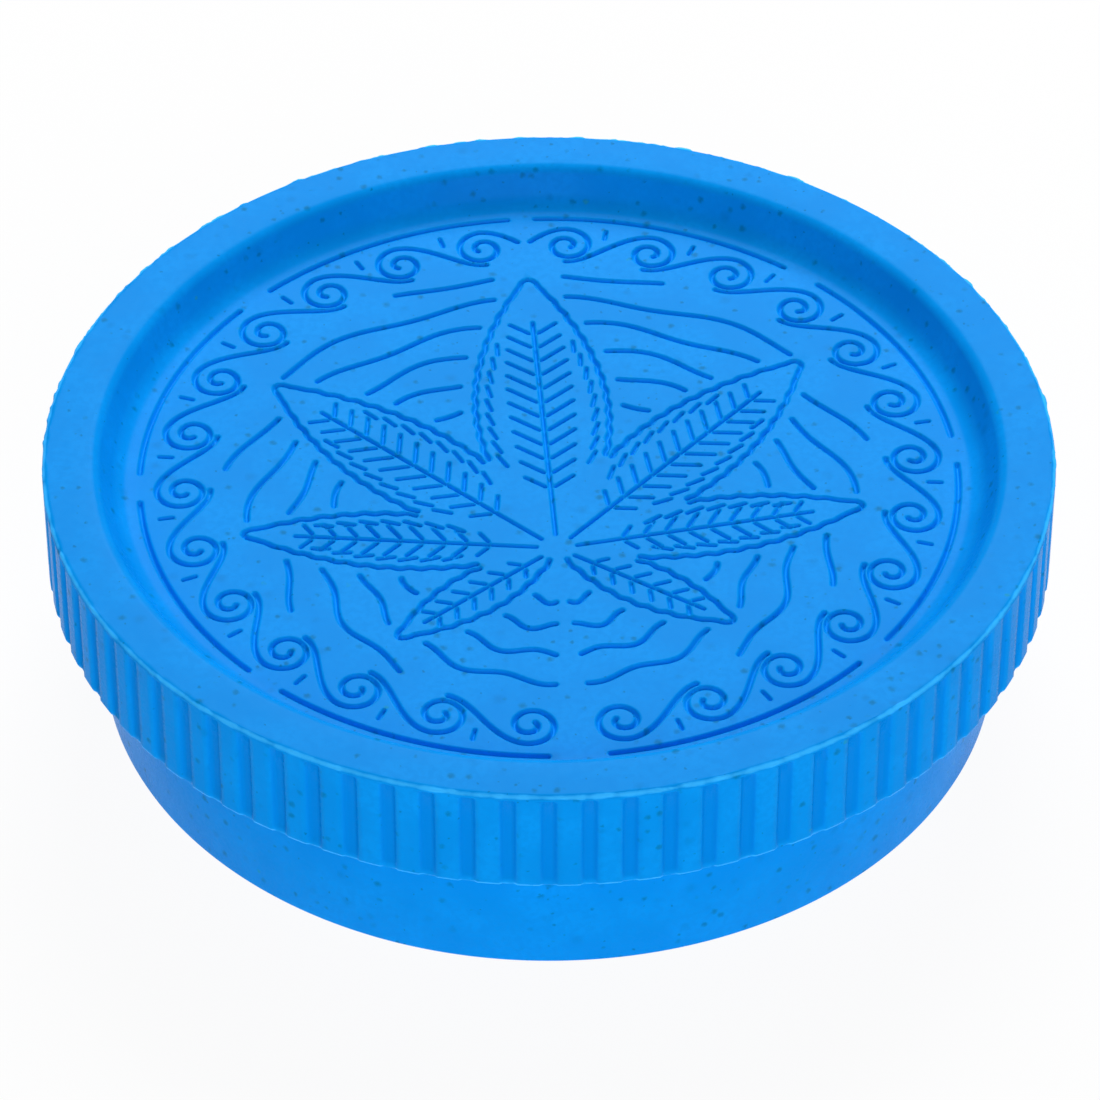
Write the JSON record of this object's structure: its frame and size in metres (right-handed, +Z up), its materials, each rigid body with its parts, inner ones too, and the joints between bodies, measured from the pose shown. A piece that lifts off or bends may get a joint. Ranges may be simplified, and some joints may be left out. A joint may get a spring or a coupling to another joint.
{
  "type": "twist grinder",
  "caption": "Round two-part hand grinder: a toothed cup and a fluted, dished lid that twists on it and lifts off.",
  "frame": {"origin": "middle of the foot, on the surface the grinder stands on", "axes": "+Z up along the axis the lid turns about; +X and +Y lie between teeth, the object is round"},
  "size_m": [0.06, 0.06, 0.016],
  "materials": {
    "plant_fibre_plastic": "satin, moulded, with fine dark fibre specks",
    "magnet": "nickel plated, satin"
  },
  "bodies": {
    "base": {"base_cup": "plant_fibre_plastic", "base_post": "plant_fibre_plastic", "base_magnet": "magnet", "base_inner_teeth": "plant_fibre_plastic", "base_middle_teeth": "plant_fibre_plastic", "base_wall_teeth": "plant_fibre_plastic"},
    "lid_carrier": {"lid_magnet": "magnet"},
    "lid": {"lid_panel": "plant_fibre_plastic", "lid_rim": "plant_fibre_plastic", "lid_post": "plant_fibre_plastic", "lid_inner_teeth": "plant_fibre_plastic", "lid_outer_teeth": "plant_fibre_plastic"}
  },
  "joints": [
    {"name": "lid_lift", "type": "slide", "parent": "base", "child": "lid_carrier", "axis": [0, 0, 1], "range_m": [0, 0.03]},
    {"name": "lid_twist", "type": "hinge", "parent": "lid_carrier", "child": "lid", "pos_m": [0, 0, 0.008], "axis": [0, 0, 1], "continuous": true}
  ]
}
